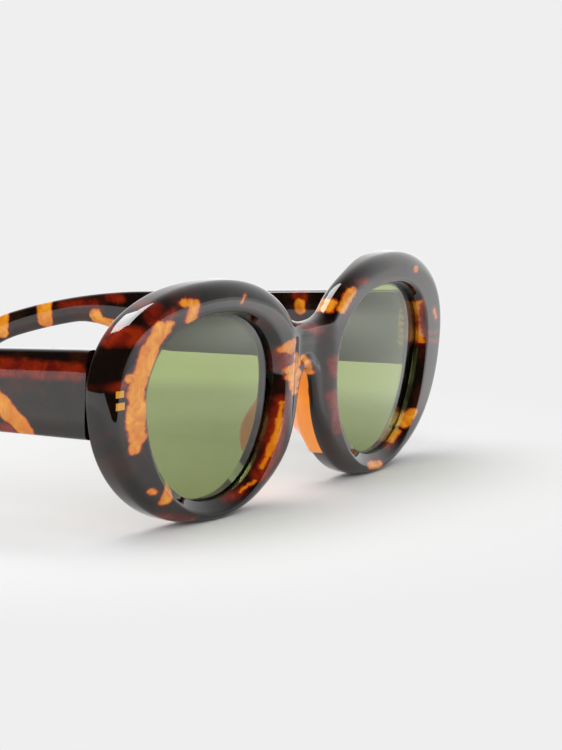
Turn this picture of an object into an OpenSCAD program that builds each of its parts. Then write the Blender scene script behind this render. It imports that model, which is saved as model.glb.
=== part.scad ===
// Oval sunglasses with a thick plastic front, two tinted lenses, glued nose
// pads and two folding temples on five-knuckle metal hinges.
// Millimetres. The wearer looks along -Y, the wearer's left is +X, Z is up.
// The glasses stand on the two lower rims and the two temple tips at Z = 0.

/* [Lens openings] */
// Distance from the middle plane to the centre of a lens opening
eye_offset = 35.8; // [33:0.1:38]
// Half the width of a lens opening
eye_half_w = 21.8; // [19:0.1:23]
// Half the height of a lens opening
eye_half_h = 19.6; // [16:0.1:21]
// Squareness of the lens opening, 2 is an ellipse
eye_power = 2.26; // [2:0.05:3]
// How much wider the opening is at the top than at the bottom, per mm of height
eye_egg = 0.007; // [0:0.0002:0.01]
// Sideways lean of the opening, outward toward the top, per mm of height
eye_lean = 0.042; // [0:0.01:0.12]

/* [Bevel around the opening] */
// Mean width of the sloped face beside the opening
bevel_side = 2.1; // [1.2:0.1:3]
// Mean width of the sloped face above and below the opening
bevel_height = 1.55; // [1.2:0.1:2.5]
// How much wider it is on the nose side than the mean
bevel_nasal = 0.6; // [0:0.1:0.9]
// How much wider it is below the opening than the mean
bevel_low = 1.05; // [0:0.05:1.2]
// Depth of the sloped face
bevel_depth = 1.7; // [0.6:0.1:2]

/* [Rims] */
// Half width of the outer oval on the nose side
rim_half_nasal = 32.6; // [30:0.1:34.5]
// Half width of the outer oval on the temple side
rim_half_temporal = 34.3; // [31:0.1:38]
// Half height of the outer oval
rim_half_h = 25.2; // [23:0.1:28]
// Height of the outer oval's centre above the opening's centre
rim_rise = 1.35; // [0:0.05:2]
// Squareness of the outer oval, 2 is an ellipse
rim_power = 2.26; // [2:0.05:3]
// How much wider the outer oval is at the top than at the bottom, per mm of height
rim_egg = 0.003; // [0:0.0002:0.01]
// Sideways lean of the outer oval, outward toward the top, per mm of height
rim_lean = 0.06; // [0:0.01:0.12]
// Thickness of the plastic from front to back
rim_depth = 6.8; // [6.5:0.1:9]
// Depth that the rounded front edge takes
roll_depth = 2.7; // [2:0.1:3]
// Width of the rounded front edge beside the opening
roll_side_w = 2.4; // [1.5:0.1:4]
// Width of the rounded front edge above and below the opening
roll_top_w = 4.4; // [2:0.1:5]
// Most of the rim's width that the rounded front edge takes
roll_share = 0.62; // [0.4:0.01:0.9]
// How far the front face falls away before that edge
front_crown = 0.15; // [0:0.05:0.4]
// Width over which it falls away
front_crown_w = 8; // [4:0.5:10]
// Radius of the back outer edge
back_round = 1.6; // [0.5:0.1:1.8]
// Width of the chamfer between the back face and the opening
back_chamfer = 0.5; // [0.2:0.1:0.8]
// How much thinner the outer edge is on the nose side
nose_relief = 2.0; // [0:0.1:2]
// Width over which it thins
nose_relief_w = 5.0; // [3:0.1:7]
// Angle around the rim, measured from the temple side, below which it thins
nose_relief_end = 178; // [170:1:184]
// Radius of the front's curve seen from above
front_curve_r = 500; // [250:10:900]
// Forward tilt of the front, degrees
front_tilt = 2.7; // [0:0.1:8]

/* [Bridge] */
// Height of the bridge's top above the lens centres
bridge_top = 14.6; // [13:0.1:17]
// Height of the bridge's underside above the lens centres
bridge_bottom = 4.1; // [3:0.1:8]
// Height over which the bridge's top runs out into the rims
bridge_run_top = 4.0; // [2:0.1:6]
// Height over which the bridge's underside runs out into the rims
bridge_run_bottom = 6.8; // [3:0.1:9]
// How far the bridge lies behind the front crest
bridge_recess = 1.8; // [0:0.1:2.5]
// Half width of the saddle that is scooped out to that depth
saddle_half_w = 8.2; // [6:0.1:14]
// Width of the rolled edge on the bridge
bridge_roll = 3.4; // [2:0.1:5]

/* [Lenses] */
// Thickness of a lens
lens_thick = 2.0; // [1.4:0.1:2.4]
// Depth of the lens face behind the front crest
lens_set_back = 2.6; // [2.1:0.1:3.4]
// Depth of the groove that holds the lens
groove_depth = 0.8; // [0.4:0.1:1.2]
// Gap between a lens and its groove on each face and at the edge
lens_gap = 0.06; // [0.03:0.01:0.15]
// How far the middle of a lens bulges forward
lens_dome = 0.8; // [0:0.1:2]

/* [Nose pads] */
// How far a nose pad stands behind the rim
pad_height = 5.4; // [4:0.1:9]
// Height of the pad's thin ends
pad_end_height = 0.8; // [0.5:0.1:2]
// Angle around the rim where a pad starts, measured from the temple side
pad_start = 179; // [179:1:186]
// Angle around the rim where a pad ends
pad_end = 224; // [215:1:250]
// Share of the rim's width where the pad's crest stands
pad_crest = 0.52; // [0.4:0.01:0.65]
// How far the pad swells past the rim toward the nose
pad_swell = 0.35; // [0.2:0.05:0.8]
// Height of that swell behind the rim's edge
pad_brow = 0.6; // [0.4:0.1:1]

/* [Temples] */
// How far a temple's outer face lies inside the rim's widest point
temple_inset = 0.7; // [0.3:0.1:2]
// Height of the temple's middle above the lens centres at the hinge end
temple_mid_z = 5.6; // [3:0.1:9]
// Height of the temple at the hinge end
temple_root_h = 18.1; // [14:0.1:20]
// Height lost along the straight blade
temple_blade_taper = 2.9; // [0:0.1:5]
// Height of the ear piece
temple_tail_h = 6.3; // [5:0.1:9]
// Thickness at the hinge end
temple_root_t = 5.0; // [4:0.1:6]
// Thickness of the ear piece
temple_tail_t = 3.3; // [2.6:0.1:4]
// Length at the hinge end that keeps its full thickness
temple_full_len = 15; // [12:1:30]
// Length from the hinge end to the start of the step in the lower edge
blade_len = 66; // [50:1:80]
// Length of the step where the blade narrows to the ear piece
step_len = 31; // [10:1:36]
// Length from the hinge end to the start of the gentle bend
straight_len = 75; // [60:1:90]
// Radius of the gentle bend, along the upper edge
soft_bend_r = 160; // [100:5:250]
// Length of the gentle bend, along the upper edge
soft_bend_len = 40; // [20:1:50]
// Radius of the ear bend, along the upper edge
ear_bend_r = 38; // [25:1:60]
// Turn of the ear bend, degrees
ear_bend_angle = 30; // [15:1:40]
// Downward slope of a temple, degrees
temple_slope = 3.2; // [0:0.1:8]
// Inward lean of a temple, degrees
temple_splay = 3; // [0:0.1:6]
// Inward curl of the ear piece at its tip
tail_curl = 3.5; // [0:0.1:8]
// Rounding of the temple's long edges
temple_round = 1.1; // [0.4:0.1:1.5]
// Length of the rounded tip
tip_round = 2.4; // [1.5:0.1:3]
// Gap between a temple and the back of the rim when it is open
butt_gap = 0.15; // [0.05:0.01:0.5]

/* [Hinges] */
// Radius of a hinge knuckle
knuckle_r = 1.55; // [1.2:0.05:2]
// Height of one knuckle
knuckle_h = 1.5; // [1.2:0.1:2.2]
// Number of knuckles, three of them on the front
knuckle_count = 5; // [5:2:7]
// Gap between neighbouring knuckles
knuckle_gap = 0.1; // [0.05:0.01:0.2]
// Thickness of a hinge leaf
leaf_t = 1.0; // [0.8:0.1:1.4]
// Length of the leaf let into the temple
temple_leaf_len = 10; // [7:0.5:14]
// Width of the leaf let into the rim
front_leaf_w = 5.4; // [4:0.1:6]
// Gap around a leaf and its studs in their pockets
pocket_gap = 0.05; // [0.03:0.01:0.2]
// Gap between a knuckle and the plastic beside it
knuckle_clear = 0.3; // [0.2:0.05:0.6]
// Width of the square studs that anchor a leaf
stud_w = 2.0; // [1:0.1:2.4]
// Height of those studs
stud_h = 1.6; // [1:0.1:2]
// Distance between the two studs
stud_pitch = 2.5; // [2:0.1:4]
// Length of a stud in the rim
front_stud_len = 3.4; // [2:0.1:4]
// Length of a stud in the temple
temple_stud_len = 1.6; // [1:0.1:2.2]
// Lean of the hinge pins, top toward the nose, degrees
pin_lean = 3; // [0:0.5:5]

/* [Hinge screws] */
// Radius of a screw's shank
screw_r = 0.7; // [0.5:0.05:0.9]
// Running gap between the shank and the knuckle bores
bore_gap = 0.05; // [0.02:0.01:0.1]
// Radius of a screw's head
screw_head_r = 1.25; // [1:0.05:1.5]
// Height of a screw's head
screw_head_h = 0.8; // [0.5:0.1:1.2]
// Width of the driver slot
slot_w = 0.4; // [0.3:0.05:0.6]
// Depth of the driver slot
slot_depth = 0.4; // [0.2:0.05:0.5]

/* [Hidden] */
$fn = 40;
// Steps around a half: open rim, upper run-out, bridge cut, lower run-out
rim_steps = 46;
run_steps = 5;
cut_steps = 8;
under_steps = 6;
steps = rim_steps + run_steps + cut_steps + under_steps;
front_steps = 7;
back_steps = 4;
loop_len = front_steps + back_steps + 8;
lens_rings = 4;
blade_steps = 30;
temple_outer_x = eye_offset + rim_half_temporal - temple_inset;

function sq(v) = v * v;
function mix(a, b, f) = a + (b - a) * f;
function clamp01(v) = max(0, min(1, v));
function ease(v) = let (u = clamp01(v)) u * u * (3 - 2 * u);
function rise(c, power) = sign(c) * pow(abs(c), 2 / power);

// Point of an oval at angle t, in the front's own plane (x, z)
function oval(t, w_in, w_out, h, power, egg, lean, shift) =
    let (c = rise(cos(t), power), v = rise(sin(t), power) * h)
    let (u = c * (c < 0 ? w_in : w_out))
    [eye_offset + u * (1 + egg * v) + lean * v, v] + shift;
function eye_at(t) =
    oval(t, eye_half_w, eye_half_w, eye_half_h, eye_power, eye_egg, eye_lean, [0, 0]);
function lip_at(t) =
    oval(t, eye_half_w + bevel_side, eye_half_w + bevel_side, eye_half_h + bevel_height,
        eye_power, eye_egg, eye_lean, [-bevel_nasal, -bevel_low]);
function rim_at(t) =
    oval(t, rim_half_nasal, rim_half_temporal, rim_half_h, rim_power, rim_egg, rim_lean, [0, rim_rise]);

// Angle on the nose side at which the outer oval passes height z
function rim_angle(z) =
    let (v = (z - rim_rise) / rim_half_h)
    180 - asin(sign(v) * pow(abs(v), rim_power / 2));
top_run = rim_angle(bridge_top + bridge_run_top);
top_cut = rim_angle(bridge_top);
low_cut = rim_angle(bridge_bottom);
low_run = rim_angle(bridge_bottom - bridge_run_bottom);

// Section angles, starting under the bridge and going round by the temple side
function section_angle(i) =
    i < rim_steps ? low_run + (360 + top_run - low_run) * i / rim_steps
    : i < rim_steps + run_steps ? 360 + mix(top_run, top_cut, (i - rim_steps) / run_steps)
    : i < rim_steps + run_steps + cut_steps
        ? 360 + mix(top_cut, low_cut, (1 - cos(180 * (i - rim_steps - run_steps) / cut_steps)) / 2)
    : 360 + mix(low_cut, low_run, (i - rim_steps - run_steps - cut_steps) / under_steps);
cut_first = rim_steps + run_steps;
cut_last = cut_first + cut_steps;

// Curve from the oval to a level point on the middle plane
function run_out(t_from, z_to, f) =
    let (p = rim_at(t_from), q = rim_at(t_from + 0.5))
    let (corner = [p[0] + (z_to - p[1]) * (q[0] - p[0]) / (q[1] - p[1]), z_to])
    p * sq(1 - f) + corner * 2 * f * (1 - f) + [0, z_to] * sq(f);

function outline_at(i) =
    i < rim_steps ? rim_at(section_angle(i))
    : i <= cut_first ? run_out(top_run, bridge_top, (i - rim_steps) / run_steps)
    : i < cut_last ? [0, mix(bridge_top, bridge_bottom, (1 - cos(180 * (i - cut_first) / cut_steps)) / 2)]
    : run_out(low_run, bridge_bottom, (steps - i) / under_steps);
outline = [for (i = [0:steps - 1]) outline_at(i)];

// Distance from p to the piece of outline from a to b
function piece_distance(p, a, b) =
    let (ab = b - a, f = clamp01(((p - a) * ab) / (ab * ab)))
    norm(p - a - ab * f);
edge_pieces = [for (i = [0:steps - 1]) if (i < cut_first || i >= cut_last)
    [outline[i], outline[(i + 1) % steps]]];
function edge_distance(p) = min([for (e = edge_pieces) piece_distance(p, e[0], e[1])]);

// Width of the rounded front edge at section i, blended into the bridge's own
function rim_roll(i) =
    min(mix(roll_side_w, roll_top_w, sq(sin(section_angle(i)))),
        roll_share * norm(outline[i] - lip_at(section_angle(i))));
function roll_width(i) =
    let (toward = i < cut_first ? ease((i - rim_steps + 6) / (run_steps + 6)) : i <= cut_last ? 1
        : ease((steps - i) / under_steps))
    mix(rim_roll(i), bridge_roll, toward);

function quarter(f) = 1 - sqrt(1 - sq(clamp01(f)));
function saddle(x) = bridge_recess * (1 - sq(clamp01(x / saddle_half_w)));
function front_y(p, roll) = let (d = edge_distance(p))
    roll_depth * quarter(1 - d / roll) + front_crown * sq(clamp01(1 - d / front_crown_w))
    + saddle(p[0]) * clamp01(d / roll);
relief_fade = 10;
function relief(i) = let (a = section_angle(i) % 360)
    nose_relief * ease(-2 * cos(a) - 0.1) * ease((nose_relief_end - a) / relief_fade);
function back_y(p, i) = let (d = edge_distance(p))
    rim_depth - back_round * quarter(1 - d / back_round) - relief(i) * (1 - ease(d / nose_relief_w));

// From the front's own plane to the standing position
function bent(x, z, y) =
    let (d = y + sq(x) / (2 * front_curve_r))
    [x, d * cos(front_tilt) - z * sin(front_tilt), z * cos(front_tilt) + d * sin(front_tilt)];
stand_points = [for (i = [0:rim_steps]) let (p = rim_at(section_angle(i)))
    bent(p[0], p[1], roll_depth + front_crown)[2]];
stand_height = -min(stand_points);
function placed(x, z, y) = bent(x, z, y) + [0, 0, stand_height];

// Closed section loop: back inner corner, back face, front roll, bevel, groove
function toward_edge(a, b, d) = a + (b - a) * (d / norm(b - a));
function section(i) =
    let (t = section_angle(i), e = eye_at(t), l = lip_at(t), o = outline[i])
    let (roll = roll_width(i), g = toward_edge(e, o, groove_depth))
    let (chamfer = toward_edge(e, o, back_chamfer))
    let (y1 = lens_set_back, y2 = lens_set_back + lens_thick + 2 * lens_gap)
    concat(
        [placed(e[0], e[1], rim_depth - back_chamfer), placed(chamfer[0], chamfer[1], rim_depth)],
        [for (k = [1:back_steps]) let (p = mix(chamfer, o, sin(90 * k / back_steps)))
            placed(p[0], p[1], back_y(p, i))],
        [for (k = [0:front_steps]) let (p = mix(l, o, cos(90 * k / front_steps)))
            placed(p[0], p[1], front_y(p, roll))],
        [placed(e[0], e[1], bevel_depth), placed(e[0], e[1], y1), placed(g[0], g[1], y1),
         placed(g[0], g[1], y2), placed(e[0], e[1], y2)]
    );
sections = [for (i = [0:steps - 1]) section(i)];
back_edge = back_steps + 1;
front_edge = back_edge + 1;

function flipped(p) = [-p[0], p[1], p[2]];
function in_cut(i) = i >= cut_first && i <= cut_last;
function joined(i, j) = in_cut(i) && (j == back_edge || j == front_edge);
function left_index(i, j) = (i % steps) * loop_len + j % loop_len;
function right_index(i, j) = left_index(i, j) + (joined(i % steps, j % loop_len) ? 0 : steps * loop_len);
function quad(a, b, c, d) = [[a, b, c], [a, c, d]];

module front_body() {
    pts = [for (s = sections) each s];
    faces = [for (i = [0:steps - 1]) for (j = [0:loop_len - 1])
        if (!(j == back_edge && in_cut(i) && in_cut(i + 1)))
            each quad(left_index(i, j + 1), left_index(i + 1, j + 1),
                left_index(i + 1, j), left_index(i, j))];
    mirrored = [for (i = [0:steps - 1]) for (j = [0:loop_len - 1])
        if (!(j == back_edge && in_cut(i) && in_cut(i + 1)))
            each quad(right_index(i + 1, j), right_index(i + 1, j + 1),
                right_index(i, j + 1), right_index(i, j))];
    polyhedron(concat(pts, [for (p = pts) flipped(p)]), concat(faces, mirrored), convexity = 8);
}

// Closed tube through equal rings of points, with a lid of triangles at both ends
module tube(rings, lid = []) {
    n = len(rings[0]);
    last = len(rings) - 1;
    ends = len(lid) > 0 ? lid : [for (j = [1:n - 2]) [0, j, j + 1]];
    sides = [for (i = [0:last - 1]) for (j = [0:n - 1])
        each quad(i * n + j, i * n + (j + 1) % n, (i + 1) * n + (j + 1) % n, (i + 1) * n + j)];
    start = [for (t = ends) [t[0], t[2], t[1]]];
    end = [for (t = ends) [for (k = t) last * n + k]];
    polyhedron([for (r = rings) each r], concat(sides, start, end), convexity = 6);
}

// Lens: one face of rings from the edge to the middle, then the other
lens_edge = [for (i = [0:steps - 1])
    toward_edge(eye_at(section_angle(i)), outline[i], groove_depth - lens_gap)];
function lens_ring(f, y) = [for (p = lens_edge)
    let (q = mix([eye_offset, 0], p, f)) placed(q[0], q[1], y - lens_dome * (1 - sq(f)))];
module lens() {
    front = lens_set_back + lens_gap;
    back = front + lens_thick;
    middle = 1 / lens_rings / 3;
    tube(concat(
        [lens_ring(middle, front)],
        [for (k = [1:lens_rings]) lens_ring(k / lens_rings, front)],
        [for (k = [lens_rings:-1:1]) lens_ring(k / lens_rings, back)],
        [lens_ring(middle, back)]));
}

// Nose pad: its seat is the rim's own back and nose side, point for point.
// It starts under the bridge, at stations counted back from the first one
under_step = (low_run - low_cut) / under_steps;
section_step = (360 + top_run - low_run) / rim_steps;
pad_first = max(3 - under_steps, ceil((pad_start - low_run) / under_step)) - 1;
pad_last = floor((pad_end - low_run) / section_step);
function wrapped(i) = (i + steps) % steps;
function pad_angle(i) = section_angle(wrapped(i)) % 360;
function pad_rise(i) =
    let (f = (pad_angle(i) - pad_angle(pad_first)) / (pad_angle(pad_last) - pad_angle(pad_first)))
    mix(pad_end_height, pad_height, sin(180 * pow(clamp01(f), 0.7)));
function pad_point(i, share, y) =
    let (p = mix(eye_at(pad_angle(i)), outline[wrapped(i)], share))
    placed(p[0], p[1], y);
// A free point over the rim, kept clear of the rim's own back
function pad_flank(i, share, y) =
    let (p = mix(eye_at(pad_angle(i)), outline[wrapped(i)], share))
    placed(p[0], p[1], max(y, back_y(p, wrapped(i)) + pad_brow));
function pad_ring(i) =
    let (o = outline[wrapped(i)], h = pad_rise(i), w = norm(o - eye_at(pad_angle(i))))
    let (brow = back_y(o, wrapped(i)) + pad_brow, crest = rim_depth + h)
    concat(
        [for (j = [2:front_edge]) sections[wrapped(i)][j]],
        [pad_point(i, 1 + pad_swell / w, brow),
         pad_flank(i, mix(1, pad_crest, 0.35), mix(brow, crest, 0.42) + 0.05 * h),
         pad_flank(i, mix(1, pad_crest, 0.72), mix(brow, crest, 0.8) + 0.05 * h),
         pad_point(i, pad_crest, crest),
         pad_point(i, pad_crest - 0.08, rim_depth + 0.9 * h),
         pad_point(i, pad_crest - 0.12, rim_depth + 0.55 * h)]);
// The seat is hollow, so the lid is filled from the swell, the flank and the crest
seat = front_edge - 2;
crest_point = seat + 4;
pad_lid = [[seat - 1, seat, seat + 1], [seat - 2, seat - 1, seat + 1], [seat - 2, seat + 1, seat + 2],
    [1, seat - 2, seat + 2], [1, seat + 2, seat + 3], [1, seat + 3, crest_point], [0, 1, crest_point],
    [0, crest_point, crest_point + 1], [0, crest_point + 1, crest_point + 2]];
module nose_pad() { tube([for (i = [pad_last:-1:pad_first]) pad_ring(i)], pad_lid); }

// A temple is drawn along s, its upper edge following straight, soft and ear bends
soft_turn = soft_bend_len / soft_bend_r * 180 / PI;
ear_bend_len = ear_bend_r * ear_bend_angle * PI / 180;
ear_start = straight_len + soft_bend_len;
tip_start = ear_start + ear_bend_len;
function turn_at(s) = clamp01((s - straight_len) / soft_bend_len) * soft_turn
    + clamp01((s - ear_start) / ear_bend_len) * ear_bend_angle;
function arc_end(from, r, a0, a1) = from + [r * (sin(a1) - sin(a0)), r * (cos(a1) - cos(a0))];
top_straight = [straight_len, temple_root_h / 2];
top_soft = arc_end(top_straight, soft_bend_r, 0, soft_turn);
top_ear = arc_end(top_soft, ear_bend_r, soft_turn, soft_turn + ear_bend_angle);
function top_at(s) = let (a = turn_at(s))
    s <= straight_len ? [s, temple_root_h / 2]
    : s <= ear_start ? arc_end(top_straight, soft_bend_r, 0, a)
    : s <= tip_start ? arc_end(top_soft, ear_bend_r, soft_turn, a)
    : top_ear + (s - tip_start) * [cos(a), -sin(a)];
function blade_h(s) = mix(temple_root_h - temple_blade_taper * clamp01(s / blade_len), temple_tail_h,
    ease((s - blade_len) / step_len));
function blade_t(s) = mix(temple_root_t, temple_tail_t,
    ease((s - temple_full_len) / (ear_start - temple_full_len)));
function curl_at(s) = tail_curl * sq(clamp01((s - straight_len) / (tip_start - straight_len)));

// Height above the stand at which the back of the rim is met, and the arm's own axes
function rim_back(x, z, gap) =
    let (d = rim_depth + gap + sq(x) / (2 * front_curve_r))
    let (up = (z - stand_height - d * sin(front_tilt)) / cos(front_tilt))
    d * cos(front_tilt) - up * sin(front_tilt);
arm_z = placed(temple_outer_x, temple_mid_z, rim_depth)[2];
arm_origin = [temple_outer_x, rim_back(temple_outer_x, arm_z, butt_gap), arm_z];
arm_along = [-sin(temple_splay) * cos(temple_slope),
    cos(temple_splay) * cos(temple_slope), -sin(temple_slope)];
arm_out = [cos(temple_splay), sin(temple_splay), 0];
arm_up = [-sin(temple_splay) * sin(temple_slope),
    cos(temple_splay) * sin(temple_slope), cos(temple_slope)];
function arm_point(r, v, n) = arm_origin + r * arm_along + v * arm_up + n * arm_out;

// Rounded oblong ring of the blade, scaled down toward the tip's end
ring_corner = 4;
function oblong(h, t, round) = [for (c = [0:3]) for (k = [0:ring_corner - 1])
    let (a = 90 * c + 90 * k / (ring_corner - 1), sv = c == 0 || c == 3 ? 1 : -1, sn = c < 2 ? 1 : -1)
    [sv * (h / 2 - round) + round * cos(a), sn * (t / 2 - round) + round * sin(a)]];
function arm_ring(s, shrink) =
    let (a = turn_at(s), h = blade_h(s), t = blade_t(s), top = top_at(s))
    let (mid = top - h / 2 * [sin(a), cos(a)], hs = h * shrink, ts = t * (0.3 + 0.7 * shrink))
    [for (q = oblong(hs, ts, min(temple_round, 0.45 * min(hs, ts))))
        arm_point(mid[0] + q[0] * sin(a), mid[1] + q[0] * cos(a), q[1] - t / 2 - curl_at(s))];
function butt_ring() = [for (p = arm_ring(0, 1)) [p[0], rim_back(p[0], p[2], butt_gap), p[2]]];
function arm_rings(length) = concat([butt_ring()],
    [for (k = [1:blade_steps]) arm_ring(k * (length - tip_round) / blade_steps, 1)],
    [for (a = [25:20:85]) arm_ring(length - tip_round * (1 - sin(a)), cos(a))]);
// The tip is as long as it takes to reach the surface the glasses stand on
short_tip = tip_start + temple_tail_h;
tip_drop = sin(soft_turn + ear_bend_angle + temple_slope);
temple_len = short_tip + min([for (r = arm_rings(short_tip)) for (p = r) p[2]]) / tip_drop;
module temple_body() {
    rings = arm_rings(temple_len);
    tube([for (k = [len(rings) - 1:-1:0]) rings[k]]);
}

// Hinges, drawn for the wearer's left
hinge_x = temple_outer_x - temple_root_t - knuckle_r - knuckle_clear;
plate_h = knuckle_count * knuckle_h + (knuckle_count - 1) * knuckle_gap;
plate_x = hinge_x + knuckle_r - front_leaf_w / 2;
web_depth = 0.8 * knuckle_r;
module at_pin() {
    translate(placed(hinge_x, temple_mid_z, rim_depth + knuckle_r + knuckle_clear))
        rotate([front_tilt, 0, 0]) rotate([0, -pin_lean, 0]) children();
}
module at_rim_back() {
    translate(placed(plate_x, temple_mid_z, rim_depth))
        rotate([front_tilt, 0, 0]) rotate([0, 0, asin(plate_x / front_curve_r)]) children();
}
module in_arm() {
    multmatrix([for (k = [0:2]) [arm_out[k], arm_along[k], arm_up[k], arm_origin[k]]]) children();
}
module block(x0, x1, y0, y1, h) { translate([x0, y0, -h / 2]) cube([x1 - x0, y1 - y0, h]); }
module knuckles(first, wall) {
    at_pin() for (k = [first:2:knuckle_count - 1])
        translate([0, 0, -plate_h / 2 + k * (knuckle_h + knuckle_gap)]) {
            cylinder(r = knuckle_r, h = knuckle_h);
            if (wall == "rim") translate([-web_depth, -knuckle_r - knuckle_clear - leaf_t / 2, 0])
                cube([2 * web_depth, knuckle_r + knuckle_clear + leaf_t / 2, knuckle_h]);
            else translate([0, -web_depth, 0])
                cube([knuckle_r + knuckle_clear + leaf_t / 2, 2 * web_depth, knuckle_h]);
        }
}
module pin_bore() { at_pin() cylinder(r = screw_r + bore_gap, h = 2 * plate_h, center = true); }
module rim_plate(gap) {
    at_rim_back() {
        block(-front_leaf_w / 2 - gap, front_leaf_w / 2 + gap,
            -leaf_t - gap, gap > 0 ? leaf_t : 0, plate_h + 2 * gap);
        for (side = [-1, 1]) translate([front_leaf_w / 2 - 0.6 * stud_w, 0, side * stud_pitch / 2])
            block(-stud_w / 2 - gap, stud_w / 2 + gap,
                -leaf_t - front_stud_len - gap, -leaf_t / 2, stud_h + 2 * gap);
    }
}
module temple_plate(gap) {
    in_arm() {
        block(gap > 0 ? -temple_root_t - leaf_t : -temple_root_t, -temple_root_t + leaf_t + gap,
            gap > 0 ? -2 * knuckle_r : pocket_gap, temple_leaf_len + gap, plate_h + 2 * gap);
        for (r = [0.35, 0.75]) translate([-temple_root_t + leaf_t, r * temple_leaf_len, 0])
            block(-leaf_t / 2, temple_stud_len + gap,
                -stud_w / 2 - gap, stud_w / 2 + gap, stud_h + 2 * gap);
    }
}
module front_leaf() {
    difference() {
        union() {
            rim_plate(0);
            knuckles(0, "rim");
        }
        pin_bore();
    }
}
module temple_leaf() {
    difference() {
        union() {
            temple_plate(0);
            knuckles(1, "temple");
        }
        pin_bore();
    }
}
module screw() {
    at_pin() difference() {
        union() {
            translate([0, 0, -plate_h / 2]) cylinder(r = screw_r, h = plate_h + bore_gap + 0.1);
            translate([0, 0, plate_h / 2 + bore_gap]) cylinder(r = screw_head_r, h = screw_head_h);
        }
        translate([-2 * screw_head_r, -slot_w / 2, plate_h / 2 + bore_gap + screw_head_h - slot_depth])
            cube([4 * screw_head_r, slot_w, 2 * slot_depth]);
    }
}
module temple() {
    difference() {
        temple_body();
        temple_plate(pocket_gap);
    }
}
// Everything is centred between the front and the temple tips
front_reach = min([for (r = sections) for (p = r) p[1]]);
back_reach = max([for (r = arm_rings(temple_len)) for (p = r) p[1]]);
module left_side() { translate([0, -(front_reach + back_reach) / 2, 0]) children(); }
module right_side() { mirror([1, 0, 0]) left_side() children(); }

module front_frame() {
    color([0.1, 0.06, 0.05]) difference() {
        left_side() front_body();
        left_side() rim_plate(pocket_gap);
        right_side() rim_plate(pocket_gap);
    }
}
module lens_left() { color([0.45, 0.5, 0.35]) left_side() lens(); }
module lens_right() { color([0.45, 0.5, 0.35]) right_side() lens(); }
module nose_pad_left() { color([0.75, 0.45, 0.15]) left_side() nose_pad(); }
module nose_pad_right() { color([0.75, 0.45, 0.15]) right_side() nose_pad(); }
module temple_left() { color([0.1, 0.06, 0.05]) left_side() temple(); }
module temple_right() { color([0.1, 0.06, 0.05]) right_side() temple(); }
module front_leaf_left() { color([0.85, 0.65, 0.25]) left_side() front_leaf(); }
module front_leaf_right() { color([0.85, 0.65, 0.25]) right_side() front_leaf(); }
module temple_leaf_left() { color([0.85, 0.65, 0.25]) left_side() temple_leaf(); }
module temple_leaf_right() { color([0.85, 0.65, 0.25]) right_side() temple_leaf(); }
module screw_left() { color([0.85, 0.65, 0.25]) left_side() screw(); }
module screw_right() { color([0.85, 0.65, 0.25]) right_side() screw(); }

front_frame();
lens_left();
lens_right();
nose_pad_left();
nose_pad_right();
temple_left();
temple_right();
front_leaf_left();
front_leaf_right();
temple_leaf_left();
temple_leaf_right();
screw_left();
screw_right();
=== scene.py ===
"""Oval sunglasses in tortoise plastic with green lenses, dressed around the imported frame.

The sizes are the maker's own, in millimetres, and every mesh is placed in metres.
The wearer looks along -Y, the wearer's left is +X, and Z is up.
"""

import math

import bmesh
import bpy
import numpy as np
from mathutils import Matrix, Vector
from mathutils.bvhtree import BVHTree


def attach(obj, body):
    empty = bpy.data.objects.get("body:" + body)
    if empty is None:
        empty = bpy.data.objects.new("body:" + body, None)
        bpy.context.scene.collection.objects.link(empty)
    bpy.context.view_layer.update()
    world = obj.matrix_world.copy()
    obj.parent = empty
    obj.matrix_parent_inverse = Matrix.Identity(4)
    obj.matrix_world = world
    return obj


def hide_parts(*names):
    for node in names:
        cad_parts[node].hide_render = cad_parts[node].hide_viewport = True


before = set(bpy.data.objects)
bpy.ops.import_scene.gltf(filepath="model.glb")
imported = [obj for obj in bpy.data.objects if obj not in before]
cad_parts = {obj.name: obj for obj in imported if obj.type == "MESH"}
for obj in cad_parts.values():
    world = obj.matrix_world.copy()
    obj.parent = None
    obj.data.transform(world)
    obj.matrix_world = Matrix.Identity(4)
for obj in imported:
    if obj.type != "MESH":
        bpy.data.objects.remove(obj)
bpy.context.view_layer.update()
bpy.ops.object.select_all(action="DESELECT")

MM = 0.001

# Sizes of the front

eye_offset = 35.8
eye_half_w = 21.8
eye_half_h = 19.6
eye_power = 2.26
eye_egg = 0.007
eye_lean = 0.042
bevel_side = 2.1
bevel_height = 1.55
bevel_nasal = 0.6
bevel_low = 1.05
bevel_depth = 1.7
lip_round = 0.7
lip_cuts = 5
rim_half_nasal = 32.6
rim_half_temporal = 34.3
rim_half_h = 25.2
rim_rise = 1.35
rim_power = 2.26
rim_egg = 0.003
rim_lean = 0.06
rim_depth = 6.8
roll_depth = 2.7
roll_side_w = 2.4
roll_top_w = 4.4
roll_share = 0.62
front_crown = 0.15
crown_w = 8
back_round = 1.6
back_chamfer = 0.5
polish_r = 0.4
polish_angle = 28
nose_relief = 2.0
nose_relief_gain = 2
nose_relief_from = 0.1
nose_relief_w = 5.0
nose_relief_end = 178
relief_fade = 10
front_curve_r = 500
front_tilt = math.radians(2.7)
bridge_top = 14.6
bridge_bottom = 4.1
bridge_run_top = 2.8
bridge_run_bottom = 6.8
bridge_recess = 1.5
saddle_half_w = 9.5
saddle_flat_w = 3.0
saddle_soft = 0.6
bridge_roll = 3.4
bridge_lead = 6

# Where the front's own plane stands in the frame
stand_height = 23.6314
middle_y = 76.5761

# Stations of the maker's drawing round one rim, and how much finer they are cut here
rim_steps = 46
run_steps = 5
cut_steps = 8
under_steps = 6
steps = rim_steps + run_steps + cut_steps + under_steps
cut_first = rim_steps + run_steps
cut_last = cut_first + cut_steps
fineness = 4
back_steps = 9
front_steps = 18

# Sizes of the other pieces

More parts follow.
